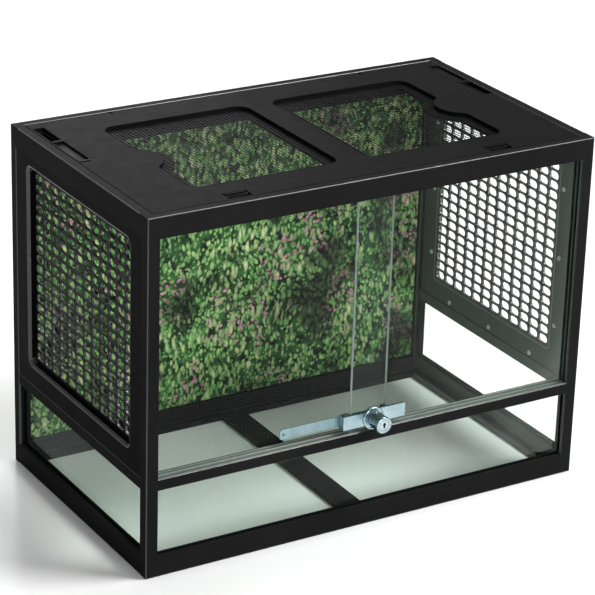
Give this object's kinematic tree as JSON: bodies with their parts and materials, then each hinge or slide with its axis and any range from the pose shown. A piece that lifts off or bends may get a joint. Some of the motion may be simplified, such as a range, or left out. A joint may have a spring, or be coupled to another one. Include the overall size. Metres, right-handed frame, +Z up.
{
  "type": "hamster cage",
  "caption": "Black-framed glass cage for a small pet, with sliding glass doors and a key lock, perforated side vents, and a hinged mesh-window lid.",
  "frame": {"origin": "bottom centre of the cage, on the underside of the bar below the floor pane", "axes": "+X to the right seen from the front, +Y to the back, +Z up"},
  "size_m": [0.6, 0.373, 0.4438],
  "materials": {
    "frame": "satin black moulded plastic",
    "panel": "satin black moulded plastic",
    "lid": "fine matt black moulded plastic",
    "lid_trim": "satin black moulded plastic",
    "track": "semi-clear grey extrusion",
    "glass": "clear float glass with ground edges",
    "backdrop": null,
    "vent_sheet": "black perforated sheet",
    "mesh": "black coated wire mesh",
    "fastener": "bright zinc",
    "lock_metal": "satin chrome",
    "lock_steel": "satin plated steel",
    "lock_plug": "polished"
  },
  "bodies": {
    "cage": {"base_rail_front": "frame", "base_rail_back": "frame", "base_rail_left": "frame", "base_rail_right": "frame", "floor_bar": "frame", "post_front_left": "frame", "post_front_right": "frame", "post_rear_left": "frame", "post_rear_right": "frame", "mid_rail_front": "frame", "mid_rail_left": "frame", "mid_rail_right": "frame", "top_rail_front": "frame", "top_rail_back": "frame", "top_rail_left": "frame", "top_rail_right": "frame", "door_track_lower": "track", "door_track_upper": "track", "glass_front_lower": "glass", "glass_left_lower": "glass", "glass_right_lower": "glass", "glass_back": "glass", "glass_floor": "glass", "background_sheet": "backdrop", "side_panel_left": "panel", "side_panel_right": "panel", "vent_sheet_left": "vent_sheet", "vent_sheet_right": "vent_sheet", "vent_screws_left": "fastener", "vent_screws_right": "fastener", "corner_screws": "fastener", "corner_dowels": "frame", "lid_hinge_pins": "fastener"},
    "left_door": {"door_left": "glass", "lock_bar": "lock_steel"},
    "right_door": {"door_right": "glass", "lock_body": "lock_metal"},
    "lock_plug": {"lock_plug": "lock_plug"},
    "lock_pawl": {"lock_pawl": "lock_steel"},
    "lid": {"lid_frame": "lid", "lid_mesh_left": "mesh", "lid_mesh_right": "mesh"},
    "latch_left": {"lid_latch_left": "lid_trim"},
    "latch_right": {"lid_latch_right": "lid_trim"},
    "cover_left": {"cable_cover_left": "lid_trim"},
    "cover_right": {"cable_cover_right": "lid_trim"}
  },
  "joints": [
    {"name": "left_door_slide", "type": "slide", "parent": "cage", "child": "left_door", "axis": [1, 0, 0], "range_m": [0, 0.245]},
    {"name": "right_door_slide", "type": "slide", "parent": "cage", "child": "right_door", "axis": [1, 0, 0], "range_m": [-0.245, 0]},
    {"name": "key_turn", "type": "hinge", "parent": "right_door", "child": "lock_plug", "pos_m": [0.003, -0.185, 0.1385], "axis": [0, 1, 0], "range_deg": [0, 90]},
    {"name": "pawl_slide", "type": "slide", "parent": "right_door", "child": "lock_pawl", "axis": [0, 1, 0], "range_m": [0, 0.0009]},
    {"name": "lid_hinge", "type": "hinge", "parent": "cage", "child": "lid", "pos_m": [0, 0.1582, 0.439], "axis": [-1, 0, 0], "range_deg": [0, 95]},
    {"name": "left_latch_slide", "type": "slide", "parent": "lid", "child": "latch_left", "axis": [0, -1, 0], "range_m": [0, 0.005]},
    {"name": "right_latch_slide", "type": "slide", "parent": "lid", "child": "latch_right", "axis": [0, -1, 0], "range_m": [0, 0.005]},
    {"name": "left_cover_slide", "type": "slide", "parent": "lid", "child": "cover_left", "axis": [0, 1, 0], "range_m": [0, 0.0504]},
    {"name": "right_cover_slide", "type": "slide", "parent": "lid", "child": "cover_right", "axis": [0, -1, 0], "range_m": [0, 0.0504]}
  ],
  "couplings": [
    {"joint": "pawl_slide", "follows": "key_turn", "m_per_rad": 0.00057}
  ]
}
